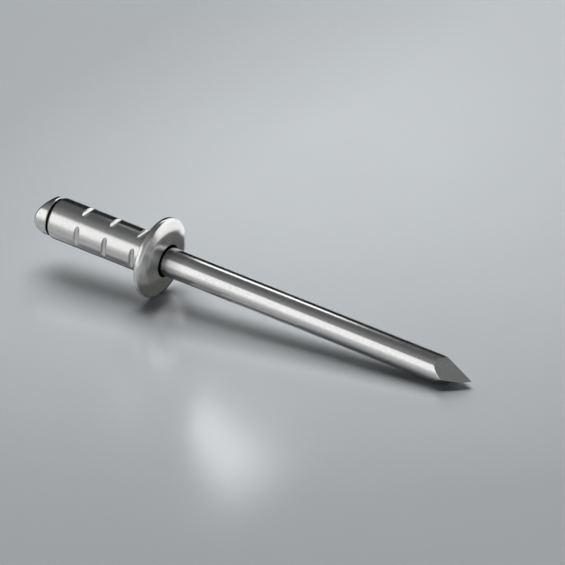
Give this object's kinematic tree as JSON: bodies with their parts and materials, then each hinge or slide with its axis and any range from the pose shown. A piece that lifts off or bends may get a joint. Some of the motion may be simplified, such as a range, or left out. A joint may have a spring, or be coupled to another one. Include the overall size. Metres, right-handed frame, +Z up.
{
  "type": "blind rivet",
  "caption": "Unset multi-grip blind rivet: notched sleeve with a domed flange, on a headed pull-through mandrel with a faceted point.",
  "frame": {"origin": "centre of the flange's bearing face, where the sleeve leaves it", "axes": "+X is the length of the lying rivet, from the mandrel's head to its point; +Z is up as it lies on a floor, on the flange's rim and the mandrel's shoulder; +Y completes the right-handed frame. The rivet's own axis lies in the XZ plane and dips by 4.69 degrees towards +X."},
  "size_m": [0.0384, 0.0064, 0.0063],
  "materials": {
    "sleeve_steel": "bright zinc-plated steel, satin, with fine turning grain round the axis",
    "mandrel_steel": "bright drawn steel wire, satin, with fine drawing grain"
  },
  "bodies": {
    "root": {"rivet_body": "sleeve_steel", "mandrel": "mandrel_steel"}
  },
  "joints": []
}
